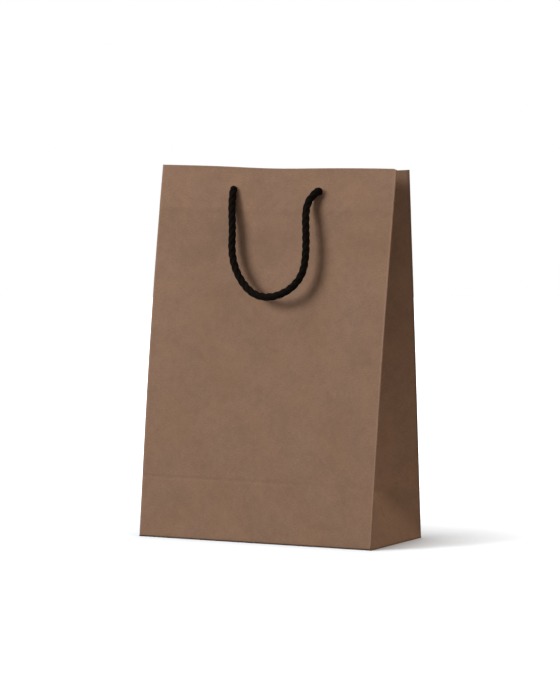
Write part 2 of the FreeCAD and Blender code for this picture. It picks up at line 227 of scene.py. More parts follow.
def dip(wall, across, up):
    """How far a wall's top edge sags below a straight line. The front one rises to the right
    and droops at that corner."""
    if wall.side == FRONT:
        depth = FRONT_SAG * math.exp(-(((across - FRONT_SAG_MIDDLE) / FRONT_SAG_REACH) ** 2))
        depth -= FRONT_RIGHT_RISE * ramp(across, 0.1 * HALF_WIDTH, 0.9 * HALF_WIDTH)
        depth += CORNER_DROOP * ramp(across, HALF_WIDTH - CORNER_REACH, HALF_WIDTH)
    else:
        depth = BACK_SAG * ramp(HALF_WIDTH - abs(across), 0, BACK_SAG_REACH)
    return depth * ramp(up, wall.height - 2 * HEM_DEPTH, wall.height)


def tuck(up):
    """How far the bottom fold's round edge turns in under the wall."""
    low = max(0.0, BOTTOM_RADIUS - up)
    return BOTTOM_RADIUS - math.sqrt(BOTTOM_RADIUS**2 - low**2)


def creases(wall, across, up):
    """The lines pressed into a wall by its folding, the step over the top card's edge and the
    paper pushed up round the holes."""
    crease = -BASE_PRESS * hump(up, BASE_CREASE, PRESS_REACH)
    if wall.side == FRONT:
        crease *= 1 - 0.8 * ramp(across, 0.1 * HALF_WIDTH, 0.6 * HALF_WIDTH)
    corner = HALF_WIDTH - abs(across)
    mitre = -MITRE_PRESS * hump(up - corner, 0, PRESS_REACH) * (up < BASE_CREASE)
    hem = wall.height - HEM_DEPTH
    step = CARD_STEP * ramp(up, hem - STEP_BELOW, hem + STEP_ABOVE)
    pucker = 0.0
    for centre in (-HOLE_ACROSS, HOLE_ACROSS):
        away = math.hypot(across - centre, up - HOLE_UP)
        pucker += PUCKER * math.exp(-((away / PUCKER_REACH) ** 2))
    return crease + mitre + step + pucker


# ---- shells ----

GRID = 2.4 * MM
FINE_GRID = 0.6 * MM
HOLE_PATCH = 8 * MM
HOLE_RINGS = 6
RING_GATHER = 1.6
SHARP_SHEET = math.radians(40)
PATCH_EDGES = [side * HOLE_ACROSS + way * HOLE_PATCH for side in (LEFT, RIGHT) for way in (-1, 1)]


def link(mesh, name, material):
    """A new object in the scene."""
    piece = bpy.data.objects.new(name, mesh)
    bpy.context.scene.collection.objects.link(piece)
    mesh.materials.append(material)
    return piece


def set_flat(mesh, places):
    """Gives each point of a mesh its place on the flat paper or along the yarns, in metres."""
    loops = np.zeros(len(mesh.loops), np.int32)
    mesh.loops.foreach_get("vertex_index", loops)
    unfolded = mesh.uv_layers.new(name="flat_paper")
    unfolded.data.foreach_set("uv", places[loops].astype(np.float32).ravel())


def shell(name, outer, inner, faces, flat, wear, material):
    """A closed sheet between two surfaces with the same faces. flat is each point's place on
    the flat paper, in metres, and the painted shade and wear list how dark or pale each point is
    painted, from -1 (painted shade) to 1 (rubbed paper with a painted highlight)."""
    count = len(outer)
    edges = dict.fromkeys(edge for face in faces for edge in zip(face, face[1:] + face[:1]))
    rim = [(a, b) for a, b in edges if (b, a) not in edges]
    below = [tuple(count + index for index in reversed(face)) for face in faces]
    sides = [(b, a, count + a, count + b) for a, b in rim]
    mesh = bpy.data.meshes.new(name)
    mesh.from_pydata([tuple(p) for p in list(outer) + list(inner)], [], faces + below + sides)
    set_flat(mesh, np.array(list(flat) * 2, float))
    # Painted shade below 0, rubbed paper with a painted highlight above 0, kept for the material.
    shade_and_wear_layer = mesh.attributes.new("wear", "FLOAT", "POINT")
    shade_and_wear_layer.data.foreach_set("value", np.array(list(wear) * 2, np.float32))
    work = bmesh.new()
    work.from_mesh(mesh)
    bmesh.ops.recalc_face_normals(work, faces=work.faces)
    work.to_mesh(mesh)
    work.free()
    mesh.shade_smooth()
    mesh.set_sharp_from_angle(angle=SHARP_SHEET)
    return link(mesh, name, material)


def steps(stops, fine=()):
    """Values from the first stop to the last, through every stop, a grid square apart at most.
    The stretches whose index is in fine are divided more closely."""
    values = [stops[0]]
    for index, (low, high) in enumerate(zip(stops, stops[1:])):
        size = FINE_GRID if index in fine else GRID
        count = max(1, math.ceil((high - low) / size - 1e-6))
        values += [low + (high - low) * (k + 1) / count for k in range(count)]
    return values


class Grid:
    """Points and faces over a rectangle, with round holes punched in square patches."""

    def __init__(self, columns, rows, holes=()):
        self.points = []
        self.faces = []
        self.number = {}
        self.columns = columns
        self.rows = rows
        for j in range(len(rows) - 1):
            for i in range(len(columns) - 1):
                middle = ((columns[i] + columns[i + 1]) / 2, (rows[j] + rows[j + 1]) / 2)
                if not any(self.inside(middle, hole) for hole in holes):
                    corners = ((i, j), (i + 1, j), (i + 1, j + 1), (i, j + 1))
                    self.faces.append(tuple(self.at(*corner) for corner in corners))
        for hole in holes:
            self.punch(hole)

    @staticmethod
    def inside(point, hole):
        """Whether a point is in a hole's patch."""
        across, along = point[0] - hole[0], point[1] - hole[1]
        return abs(across) < HOLE_PATCH and abs(along) < HOLE_PATCH

    def at(self, i, j):
        """The number of the point at a column and a row, which is added if it is new."""
        if (i, j) not in self.number:
            self.number[(i, j)] = len(self.points)
            self.points.append((self.columns[i], self.rows[j]))
        return self.number[(i, j)]

    def patch_edge(self, hole):
        """The grid points round a hole's patch, in order."""
        low_i, high_i = (nearest(self.columns, hole[0] + s * HOLE_PATCH) for s in (-1, 1))
        low_j, high_j = (nearest(self.rows, hole[1] + s * HOLE_PATCH) for s in (-1, 1))
        edge = [(i, low_j) for i in range(low_i, high_i)]
        edge += [(high_i, j) for j in range(low_j, high_j)]
        edge += [(i, high_j) for i in range(high_i, low_i, -1)]
        edge += [(low_i, j) for j in range(high_j, low_j, -1)]
        return [self.at(i, j) for i, j in edge]

    def punch(self, hole):
        """Fills a patch with rings from its square edge to the round hole, closer and closer."""
        ring = self.patch_edge(hole)
        square = [self.points[index] for index in ring]
        for k in range(1, HOLE_RINGS + 1):
            share = 1 - (1 - k / HOLE_RINGS) ** RING_GATHER
            after = []
            for x, y in square:
                across, along = x - hole[0], y - hole[1]
                size = math.hypot(across, along)
                scale = (size + (HOLE_RADIUS - size) * share) / size
                after.append(len(self.points))
                self.points.append((hole[0] + across * scale, hole[1] + along * scale))
            for n in range(len(ring)):
                m = (n + 1) % len(ring)
                self.faces.append((ring[n], ring[m], after[m], after[n]))
            ring = after


def nearest(values, value):
    """The index of the value that is nearest."""
    return min(range(len(values)), key=lambda k: abs(values[k] - value))


# ---- the walls ----

RIM_RADIUS = RIM / 2
RIM_ARC = math.pi * RIM_RADIUS
RIM_ROWS = 10
FOOT_ROWS = 6
EDGE_STRIP = 3 * MM
CREASE_STRIP = 3 * MM
CARD_INSET = 7 * MM
CARD_UP = 2 * MM
SEAM_INSET = 1 * MM
SEAM_WIDTH = 18 * MM
SEAM_FOOT = 60 * MM

# How pale (above 0: rubbed paper with a painted highlight) or dark (below 0: painted shade) the
# folds and creases are, and how wide.
# The front folds are pale, rubbed paper with a painted highlight; the back folds are dark with
# painted shade.
FOLD_WEAR_AND_PAINTED_LIGHT = {FRONT: 0.9, BACK: -0.6}
GUSSET_FOLD_WEAR_AND_PAINTED_LIGHT = {FRONT: 0.8, BACK: -0.6}
# Painted shade along the top fold.
TOP_PAINTED_SHADE = -0.5
# Painted shade on the paper just below the top card.
BELOW_CARD_PAINTED_SHADE = -0.14
# Painted shade along the base crease of the walls and the gussets.
CREASE_PAINTED_SHADE = -0.05
GUSSET_CREASE_PAINTED_SHADE = -0.12
FOLD_REACH = 2.2 * MM
GUSSET_FOLD_REACH = 1.5 * MM
TOP_REACH = 1.4 * MM
FOOT_REACH = 1.8 * MM
GUSSET_CREASE_REACH = 2.0 * MM


def fold_profile(wall, run, inward):
    """A wall's sheet goes up its face, over the top card and down inside. This gives the
    height and the depth at a distance along it, for its outer side or its inner one."""
    straight = wall.height - RIM_RADIUS
    offset = PAPER if inward else 0.0
    if run <= straight:
        return run, offset
    if run <= straight + RIM_ARC:
        turn = (run - straight) / RIM_RADIUS
        size = RIM_RADIUS - offset
        return straight + size * math.sin(turn), RIM_RADIUS - size * math.cos(turn)
    return straight - (run - straight - RIM_ARC), RIM - offset


def wall_grid(wall):
    """The grid of a wall's flat sheet, closer at its edges, creases and bends, and punched
    through its face and its turned-in top."""
    edge = HALF_WIDTH - FOLD_RADIUS
    sides = (-edge, EDGE_STRIP - edge, *PATCH_EDGES, edge - EDGE_STRIP, edge)
    columns = steps(sides, fine=(0, len(sides) - 2))
    hem = wall.height - HEM_DEPTH
    straight = wall.height - RIM_RADIUS
    over = straight + RIM_ARC
    hole_back = over + straight - HOLE_UP
    face = [BOTTOM_RADIUS, BASE_CREASE - CREASE_STRIP, BASE_CREASE + CREASE_STRIP]
    face += [hem - STEP_BELOW, hem + STEP_BELOW, HOLE_UP - HOLE_PATCH, HOLE_UP + HOLE_PATCH]
    inside = [over, hole_back - HOLE_PATCH, hole_back + HOLE_PATCH, over + HEM_DEPTH - RIM_RADIUS]
    turns = [math.pi / 2 * k / FOOT_ROWS for k in range(FOOT_ROWS)]
    rows = [BOTTOM_RADIUS * (1 - math.cos(turn)) for turn in turns]
    rows += steps([*face, straight], fine=(1, 3))
    rows += [straight + RIM_ARC * (k + 1) / RIM_ROWS for k in range(RIM_ROWS - 1)]
    rows += steps(inside)
    holes = [(side * HOLE_ACROSS, run) for side in (LEFT, RIGHT) for run in (HOLE_UP, hole_back)]
    return Grid(columns, rows, holes)


def wall_sheet(wall, material):
    """The paper of a wall with its turned-in top, creased and punched."""
    grid = wall_grid(wall)
    over = wall.height - RIM_RADIUS + RIM_ARC
    outer, inner, flat, wear = [], [], [], []
    for across, run in grid.points:
        pressed = creases(wall, across, min(run, wall.height)) if run < over else CARD_STEP
        for surface, inward in ((outer, False), (inner, True)):
            up, depth = fold_profile(wall, run, inward)
            out = bow(wall, across, up) + pressed - depth - tuck(up)
            level = up - dip(wall, across, up) + tuck(up) * math.tan(wall.lean)
            surface.append(wall.place(across, level, out))
        flat.append((across, run))
        wear.append(wall_shade_and_wear(wall, across, run))
    piece = shell(f"{wall.name}_paper", outer, inner, grid.faces, flat, wear, material)
    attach(piece, wall.name)
    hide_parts(f"{wall.name}_wall", f"{wall.name}_hem")


def wall_shade_and_wear(wall, across, run):
    """How pale or dark a wall is painted. Its front side folds are pale, rubbed paper with a
    painted highlight. Its back side folds, creases, top fold and the edge that it stands on are
    darker with painted shade, and so is the paper just below the top card."""
    wear = FOLD_WEAR_AND_PAINTED_LIGHT[wall.side] * hump(abs(across), HALF_WIDTH, FOLD_REACH)
    wear += TOP_PAINTED_SHADE * hump(run, wall.height, TOP_REACH)
    # Painted shade along the round fold that the wall stands on.
    wear -= hump(run, 0.0, FOOT_REACH)
    wear += BELOW_CARD_PAINTED_SHADE * hump(run, wall.height - 1.6 * HEM_DEPTH, 0.75 * HEM_DEPTH)
    return wear + CREASE_PAINTED_SHADE * hump(run, BASE_CREASE, PRESS_REACH)


def glued_layer(name, wall, grid, lift, thickness, material):
    """A layer glued inside a wall's paper, which follows its bow and is lifted out with it."""
    outer, inner = [], []
    for across, up in grid.points:
        out = bow(wall, across, up) + lift - PAPER
        level = up - dip(wall, across, up)
        outer.append(wall.place(across, level, out))
        inner.append(wall.place(across, level, out - thickness))
    wear = [0.0] * len(grid.points)
    return shell(name, outer, inner, grid.faces, grid.points, wear, material)


def top_card(wall, material):
    """The board under a wall's turned-in top, which the ropes pull on."""
    edge = HALF_WIDTH - CARD_INSET
    columns = steps([-edge, *PATCH_EDGES, edge])
    low, high = wall.height - HEM_DEPTH + CARD_UP, wall.height - RIM
    rows = steps([low, HOLE_UP - HOLE_PATCH, HOLE_UP + HOLE_PATCH, high])
    grid = Grid(columns, rows, [(side * HOLE_ACROSS, HOLE_UP) for side in (LEFT, RIGHT)])
    piece = glued_layer(f"{wall.name}_board", wall, grid, CARD_STEP, CARD, material)
    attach(piece, wall.name)
    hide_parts(f"{wall.name}_top_card")


def side_seam(material):
    """The sheet's glue strip, inside the back wall's left edge."""
    wall = WALLS[BACK]
    edge = SEAM_INSET - HALF_WIDTH
    columns = steps([edge, edge + SEAM_WIDTH])
    grid = Grid(columns, steps([SEAM_FOOT, wall.height - HEM_DEPTH]))
    piece = glued_layer("side_seam_paper", wall, grid, 0.0, PAPER, material)
    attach(piece, wall.name)
    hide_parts("side_seam_flap")


# ---- the gussets ----

SLOPE = (math.tan(FRONT_LEAN) + math.tan(BACK_LEAN)) / 2
APEX_HEIGHT = HALF_DEPTH / (1 + SLOPE)
CREASE_PARTS = 400
MITRE_SPREAD = 5 * MM
MITRE_SHARES = (0.33, 0.66, 1.0)
GUSSET_PARTS = 25
FOLD_PARTS = 6
FOLD_PITCH = 0.2 * MM
PUFF = 0.8 * MM
GLUE = 0.05 * MM
TURN_IN_START = 4 * MM
TURN_IN_END = 1 * MM
TURN_IN_TOP = 0.1 * MM


def half_opening(height):
    """Half of the space between the walls' faces at a height."""
    return (WALLS[BACK].face_y(height) - WALLS[FRONT].face_y(height)) / 2


def between(height):
    """The plane halfway between the walls at a height."""
    return (WALLS[BACK].face_y(height) + WALLS[FRONT].face_y(height)) / 2


def crease_depth(height):
    """How far a gusset's centre crease is folded in at a height."""
    return math.sqrt(max(0.0, HALF_DEPTH**2 - half_opening(height) ** 2))


def crease_line():
    """The centre crease as (length up it from the mitre creases, height), closely spaced."""
    rows = [(0.0, APEX_HEIGHT)]
    point = Vector((crease_depth(APEX_HEIGHT), between(APEX_HEIGHT), APEX_HEIGHT))
    for k in range(1, CREASE_PARTS + 1):
        height = APEX_HEIGHT + (WALL_HEIGHT - APEX_HEIGHT) * k / CREASE_PARTS
        after = Vector((crease_depth(height), between(height), height))
        rows.append((rows[-1][0] + (after - point).length, height))
        point = after
    return np.array(rows)


CREASE_LINE = crease_line()


def crease_point(end, up):
    """The point of a gusset's centre crease, or of its base triangle's middle, at a distance
    up the paper."""
    if up >= HALF_DEPTH:
        height = float(np.interp(up - HALF_DEPTH, CREASE_LINE[:, 0], CREASE_LINE[:, 1]))
        depth, middle = crease_depth(height), between(height)
    else:
        share = up / HALF_DEPTH
        height = APEX_HEIGHT * share
        depth, middle = crease_depth(APEX_HEIGHT) * share, between(APEX_HEIGHT) * share
    return Vector((end * (HALF_WIDTH - depth), middle, height))


def mitre_point(end, wall, up):
    """The point of a mitre crease at a distance up the paper."""
    corner = Vector((end * HALF_WIDTH, wall.side * HALF_DEPTH, 0))
    return corner.lerp(crease_point(end, HALF_DEPTH), up / HALF_DEPTH)


def fold_turn(wall, up):
    """How far the paper turns at the fold between a wall and a gusset."""
    height = max(APEX_HEIGHT, up * math.cos(wall.lean))
    return math.pi - math.asin(min(1.0, half_opening(height) / HALF_DEPTH))


def fold_point(end, wall, up, share):
    """A point on the round fold between a wall and a gusset, from the wall (0) on (1)."""
    height = up * wall.height / WALL_HEIGHT
    turn = fold_turn(wall, up) * share
    across = HALF_WIDTH - FOLD_RADIUS + FOLD_RADIUS * math.sin(turn)
    depth = FOLD_RADIUS - FOLD_RADIUS * math.cos(turn)
    edge = end * (HALF_WIDTH - FOLD_RADIUS)
    out = bow(wall, edge, height) + creases(wall, edge, height) * (1 - share) - depth - tuck(up)
    return wall.place(end * across, height + tuck(up) * math.tan(wall.lean), out)


def flat_gusset(end, wall, inward, up):
    """The point of a sharply creased half gusset at a distance in from its fold and up the
    paper."""
    start = fold_point(end, wall, up, 1.0)
    share = inward / HALF_DEPTH
    if up >= HALF_DEPTH:
        return start.lerp(crease_point(end, up), share)
    mitre = mitre_point(end, wall, up)
    if inward <= up:
        return start.lerp(mitre, inward / up) if up > 0 else mitre
    return mitre.lerp(crease_point(end, up), (inward - up) / (HALF_DEPTH - up))


def gusset_surface(end, wall, inward, up):
    """The same point with the mitre crease rounded, as soft paper leaves it. Near the crease
    it is the mean of points on both sides."""
    room = min(inward, up, HALF_DEPTH - inward, HALF_DEPTH - up)
    spread = min(MITRE_SPREAD, room)
    point = flat_gusset(end, wall, inward, up)
    if spread <= 0 or abs(up - inward) > 2 * MITRE_SPREAD:
        return point
    total = Vector(point)
    for shift in (way * share * spread for share in MITRE_SHARES for way in (-1, 1)):
        total += flat_gusset(end, wall, inward + shift, up - shift)
    return total / (1 + 2 * len(MITRE_SHARES))


def puff(end, inward, up):
    """How far a half gusset's soft middle stands off from flat, in waves up it."""
    across = math.sin(math.pi * inward / HALF_DEPTH)
    along = ramp(up, BASE_CREASE, 2 * BASE_CREASE)
    wave = math.sin(up * 26 + end) + 0.5 * math.sin(up * 61 + inward * 40)
    return across * along * (0.6 + 0.4 * wave) * PUFF


def gusset_normal(end, wall, inward, up):
    """The outward direction of a half gusset, away from its own wall or out of its end."""
    small = 0.5 * MM
    low, high = max(small, inward) - small, min(HALF_DEPTH - small, inward) + small
    down, over = max(small, up) - small, min(WALL_HEIGHT - small, up) + small
    along = gusset_surface(end, wall, high, up) - gusset_surface(end, wall, low, up)
    rise = gusset_surface(end, wall, inward, over) - gusset_surface(end, wall, inward, down)
    normal = along.cross(rise).normalized()
    return normal if normal.y * wall.side < 0 or normal.x * end > 0.9 else -normal


def soft_gusset(end, wall, inward, up):
    """A point of the puffed half gusset and its outward direction there."""
    normal = gusset_normal(end, wall, inward, up)
    return gusset_surface(end, wall, inward, up) + normal * puff(end, inward, up), normal


def gusset_faces(columns, rows):
    """The faces of a half gusset's grid, after its round fold's. Along the mitre crease they
    are triangles."""
    wide = FOLD_PARTS + len(columns)
    faces = []
    for j in range(len(rows) - 1):
        for i in range(wide - 1):
            a, b = j * wide + i, j * wide + i + 1
            c, d = b + wide, a + wide
            if i - FOLD_PARTS == j and rows[j + 1] <= HALF_DEPTH + 1e-6:
                faces += [(a, b, c), (a, c, d)]
            else:
                faces.append((a, b, c, d))
    return faces


def half_gusset(end, wall, material):
    """Half of a gusset with its corner, its half of the base triangle and its round fold."""
    columns = [HALF_DEPTH * k / GUSSET_PARTS for k in range(GUSSET_PARTS + 1)]
    rows = columns + steps([HALF_DEPTH, BASE_CREASE + GUSSET_CREASE_REACH, WALL_HEIGHT])[1:]
    outer, inner, flat, wear = [], [], [], []
    for up in rows:
        for k in range(FOLD_PARTS):
            point = fold_point(end, wall, up, k / FOLD_PARTS)
            outer.append(point)
            inner.append(point.lerp(fold_axis(end, wall, up), PAPER / FOLD_RADIUS))
            flat.append((end * (HALF_WIDTH + k * FOLD_PITCH), up))
            # The round fold: pale with a painted highlight by the front wall, painted shade by the
            # back wall and at the foot.
            wear.append(GUSSET_FOLD_WEAR_AND_PAINTED_LIGHT[wall.side] - hump(up, 0.0, FOOT_REACH))
        for inward in columns:
            point, normal = soft_gusset(end, wall, inward, up)
            outer.append(point)
            inner.append(point - normal * PAPER)
            flat.append((end * (HALF_WIDTH + inward), up))
            wear.append(gusset_shade_and_wear(wall, inward, up))
    faces = gusset_faces(columns, rows)
    name = f"{END_NAME[end]}_gusset_{wall.name}"
    piece = shell(f"{name}_paper", outer, inner, faces, flat, wear, material)
    unfold(piece, end, wall)
    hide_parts(name, *([f"{END_NAME[end]}_base_triangle"] if wall.side == FRONT else []))


def fold_axis(end, wall, up):
    """The middle of the round fold between a wall and a gusset."""
    height = up * wall.height / WALL_HEIGHT
    edge = end * (HALF_WIDTH - FOLD_RADIUS)
    return wall.place(edge, height, bow(wall, edge, height) - FOLD_RADIUS)


def gusset_shade_and_wear(wall, inward, up):
    """How pale or dark a half gusset is painted: its fold by the front wall pale, rubbed paper with
    a painted highlight; its fold by the back wall, its foot and its base crease painted shade.
    """
    wear = GUSSET_FOLD_WEAR_AND_PAINTED_LIGHT[wall.side] * hump(inward, 0, GUSSET_FOLD_REACH)
    # Painted shade at the foot.
    wear -= hump(up, 0.0, FOOT_REACH)
    return wear + GUSSET_CREASE_PAINTED_SHADE * hump(up, BASE_CREASE, GUSSET_CREASE_REACH)


def unfold(piece, end, wall):
    """Bakes a half gusset's place into its points. The way and the length that it would turn along
    with its wall are worked out but not used.
    """
    direction = Vector((end, wall.side, math.tan(wall.lean)))
    reach = (crease_depth(WALL_HEIGHT) + half_opening(WALL_HEIGHT)) / direction.length
    direction.normalize()
    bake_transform(piece)


def gusset_hem(end, wall, material):
    """The turned-in top of a half gusset, a strip glued on its inner side."""
    columns = steps([TURN_IN_START, HALF_DEPTH - TURN_IN_END])
    rows = steps([WALL_HEIGHT - HEM_DEPTH, WALL_HEIGHT - TURN_IN_TOP])
    grid = Grid(columns, rows)
    outer, inner = [], []
    for inward, up in grid.points:
        point, normal = soft_gusset(end, wall, inward, up)
        outer.append(point - normal * (PAPER + GLUE))
        inner.append(point - normal * 2 * (PAPER + GLUE))
    flat = [(inward, 2 * WALL_HEIGHT - up) for inward, up in grid.points]
    wear = [0.0] * len(flat)
    name = f"{END_NAME[end]}_gusset_{wall.name}_turn_in"
    piece = shell(name, outer, inner, grid.faces, flat, wear, material)
    unfold(piece, end, wall)
    if wall.side == FRONT:
        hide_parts(f"{END_NAME[end]}_gusset_hem")


# ---- ropes ----

ROPE_LAY = 20 * MM
ROPE_PITCH = 0.6 * MM
STRANDS = 3
STRAND_RADIUS = 0.38 * ROPE
STRAND_OFFSET = 0.165 * ROPE
STRAND_POINTS = 28
YARNS = 7
YARN_DEPTH = 0.045
YARN_TWIST = 3.2
SHARP_ROPE = math.radians(60)
CLEAR_OF_ROPES = (0.3, 0.8, 0.52)

PIVOT_OUT = 3.6 * MM
HOLE_ROPE_DEPTH = 8.5 * MM
HANDLE_SETTLE = 18 * MM

# A knot's route, across, up and inward from its middle: its way in from the hole and its tail.
KNOT_ENTRY = [(0.0005, 0.0005, -0.0035), (0.0015, -0.0010, 0.0015)]
KNOT_TAIL = [(-0.0015, -0.0060, 0.0025), (0.0005, -0.0130, 0.0020), (0.0010, -0.0220, 0.0010)]
KNOT_DEPTH = RIM + 5 * MM
KNOT_POINTS = 9
KNOT_START = math.radians(-60)
KNOT_TURN = math.radians(400)
KNOT_RADIUS = 4.3 * MM
KNOT_CLOSING = 0.6 * MM
KNOT_RISE = 0.25 * MM
KNOT_SQUEEZE = 0.86


def route_line(points):
    """The smooth line that a rope follows: its route's points are the control points of one
    NURBS spline, and the line is read from it."""
    curve = bpy.data.curves.new("route", "CURVE")
    curve.dimensions = "3D"
    curve.resolution_u = 16
    spline = curve.splines.new("NURBS")
    spline.points.add(len(points) - 1)
    for item, point in zip(spline.points, points):
        item.co = (*point, 1.0)
    spline.order_u = 3
    spline.use_endpoint_u = True
    carrier = bpy.data.objects.new("route", curve)
    bpy.context.scene.collection.objects.link(carrier)
    bpy.context.view_layer.update()
    mesh = bpy.data.meshes.new_from_object(carrier)
    line = np.array([v.co for v in mesh.vertices], float)
    bpy.data.objects.remove(carrier)
    bpy.data.meshes.remove(mesh)
    return line


def even_line(line):
    """The same line with its points a pitch apart, and how far along it each point is."""
    lengths = np.linalg.norm(np.diff(line, axis=0), axis=1)
    run = np.concatenate([[0], np.cumsum(lengths)])
    count = int(run[-1] / ROPE_PITCH)
    places = np.linspace(0, run[-1], count + 1)
    return np.stack([np.interp(places, run, line[:, k]) for k in range(3)], axis=1), places


def moving_frame(line):
    """Two directions across a line at each of its points, which turn with it no more than
    they must."""
    tangent = np.gradient(line, axis=0)
    tangent /= np.linalg.norm(tangent, axis=1)[:, None]
    side = np.cross(tangent[0], CLEAR_OF_ROPES)
    sides = []
    for direction in tangent:
        side = side - direction * (side @ direction)
        side = side / np.linalg.norm(side)
        sides.append(side)
    sides = np.array(sides)
    return sides, np.cross(tangent, sides)


def rope_mesh(name, line, material, squeeze=1.0, rounding=0.0):
    """A laid rope: strands that wind round the line, each with its yarns wound the other way.
    Squeeze is its share of the full thickness, and its ends are rounded over a length."""
    points, places = even_line(line)
    from_end = np.minimum(places, places[-1] - places) / max(rounding, 1e-9)
    fullness = np.sqrt(np.clip(1 - np.clip(1 - from_end, 0, 1) ** 2, 0.01, 1)) * squeeze
    side, across = moving_frame(points)
    vertices, faces, flat = [], [], []
    angles = np.linspace(0, 2 * math.pi, STRAND_POINTS, endpoint=False)
    for strand in range(STRANDS):
        phase = places / ROPE_LAY * 2 * math.pi + strand * 2 * math.pi / STRANDS
        winding = side * np.cos(phase)[:, None] + across * np.sin(phase)[:, None]
        centre = points + STRAND_OFFSET * fullness[:, None] * winding
        first = len(vertices)
        for k, place in enumerate(places):
            own = angles + phase[k]
            untwisted = own - YARN_TWIST * phase[k]
            radius = STRAND_RADIUS * fullness[k] * (1 + YARN_DEPTH * np.cos(YARNS * untwisted))
            ring = (
                centre[k]
                + side[k] * (np.cos(own) * radius)[:, None]
                + across[k] * (np.sin(own) * radius)[:, None]
            )
            vertices += ring.tolist()
            flat += [(angle * STRAND_RADIUS, place) for angle in untwisted]
        faces += strand_faces(first, len(places))
    mesh = bpy.data.meshes.new(name)
    mesh.from_pydata(vertices, [], faces)
    mesh.shade_smooth()
    mesh.set_sharp_from_angle(angle=SHARP_ROPE)
    set_flat(mesh, np.array(flat))
    return link(mesh, name, material), points


def strand_faces(first, rings):
    """The faces of one strand's tube, whose points start at a number, and its two ends."""
    faces = []
    for k in range(rings - 1):
        for n in range(STRAND_POINTS):
            a = first + k * STRAND_POINTS + n
            b = first + k * STRAND_POINTS + (n + 1) % STRAND_POINTS
            faces.append((a, b, b + STRAND_POINTS, a + STRAND_POINTS))
    last = first + (rings - 1) * STRAND_POINTS
    faces.append(tuple(first + n for n in reversed(range(STRAND_POINTS))))
    faces.append(tuple(last + n for n in range(STRAND_POINTS)))
    return faces


def handle(wall, route, material):
    """A handle's rope, from its turning point outside one hole to that outside the other."""
    points = []
    for across, down, out in route:
        up = WALL_HEIGHT - down
        off_hole = min(1.0, (down - HOLE_DOWN) / HANDLE_SETTLE) ** 0.5
        points.append(wall.place(across, up, out + bow(wall, across, up) * off_hole))
    first, last = turning_point(wall, LEFT), turning_point(wall, RIGHT)
    before = first + (first - points[0]).normalized() * ROPE / 2
    after = last + (last - points[-1]).normalized() * ROPE / 2
    name = f"{wall.name}_handle"
    line = route_line([before, *points, after])
    piece, path = rope_mesh(f"{name}_cord", line, material, rounding=ROPE / 2)
    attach(piece, name)
    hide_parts(f"{name}_rope")
    [hole_rope(wall, end, material) for end in (LEFT, RIGHT)]


def turning_point(wall, end):
    """The point outside a hole, on the handle's joint, that the rope turns about."""
    return wall.place(end * HOLE_ACROSS, HOLE_UP, PIVOT_OUT)


def hole_place(wall, end, out, across=0.0, up=0.0):
    """A place by a hole's middle, out from the wall as it bends."""
    middle = end * HOLE_ACROSS
    level = HOLE_UP - dip(wall, middle, HOLE_UP)
    return wall.place(middle + across, level + up, out + bow(wall, middle, HOLE_UP))


def hole_rope(wall, end, material):
    """The rope's short run through a hole, out to its turning point."""
    outward = wall.place(0, 0, 1) - wall.place(0, 0, 0)
    inside, surface = hole_place(wall, end, -HOLE_ROPE_DEPTH), hole_place(wall, end, 0.0)
    tip = turning_point(wall, end) + outward * ROPE / 2
    name = f"{wall.name}_{END_NAME[end]}_rope_end"
    line = route_line([inside, surface, tip])
    piece, _ = rope_mesh(f"{name}_cord", line, material, rounding=ROPE / 2)
    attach(piece, wall.name)
    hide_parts(name)
    return piece


def knot(wall, end, material):
    """The knot behind a hole: the rope turns once round itself and its tail hangs down."""
    turns = []
    for k in range(KNOT_POINTS):
        angle = KNOT_START + KNOT_TURN * k / (KNOT_POINTS - 1)
        radius = KNOT_RADIUS - KNOT_CLOSING * k / KNOT_POINTS
        inward = KNOT_RISE * (k - 2)
        turns.append((radius * math.cos(angle), radius * math.sin(angle), inward))
    route = KNOT_ENTRY + turns + KNOT_TAIL
    points = [hole_place(wall, end, -KNOT_DEPTH - into, end * x, up) for x, up, into in route]
    name = f"{wall.name}_{END_NAME[end]}_knot"
    piece, _ = rope_mesh(f"{name}_rope", route_line(points), material, squeeze=KNOT_SQUEEZE)
    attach(piece, wall.name)
    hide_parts(name)


# ---- materials ----

KRAFT_WARM = (0.266, 0.158, 0.097)
KRAFT_COOL = (0.252, 0.152, 0.102)
# The colour of the flecks, also used for the painted shade.
KRAFT_FLECK_AND_SHADE = (0.095, 0.054, 0.034)
# The pale of rubbed folds, which also carries a painted highlight.
KRAFT_RUBBED_AND_HIGHLIGHT = (0.400, 0.270, 0.190)
BOARD_DARK = (0.36, 0.33, 0.29)
BOARD_PALE = (0.46, 0.42, 0.37)
BOARD_FLECK = (0.16, 0.14, 0.12)
ROPE_DARK = (0.0024, 0.0015, 0.0010)
ROPE_PALE = (0.0042, 0.0029, 0.0021)
ROPE_FIBRE = (0.007, 0.0055, 0.0045)
FLOOR_WHITE = (0.73, 0.78, 0.84)
GLOW_REACH = 0.45
GLOW_RISE = 0.6


def map_range(tree, start, end, low, high):
    """A node that turns start into low and end into high."""
    node = tree.nodes.new("ShaderNodeMapRange")
    values = {"From Min": start, "From Max": end, "To Min": low, "To Max": high}
    for socket, value in values.items():
        node.inputs[socket].default_value = value
    return node


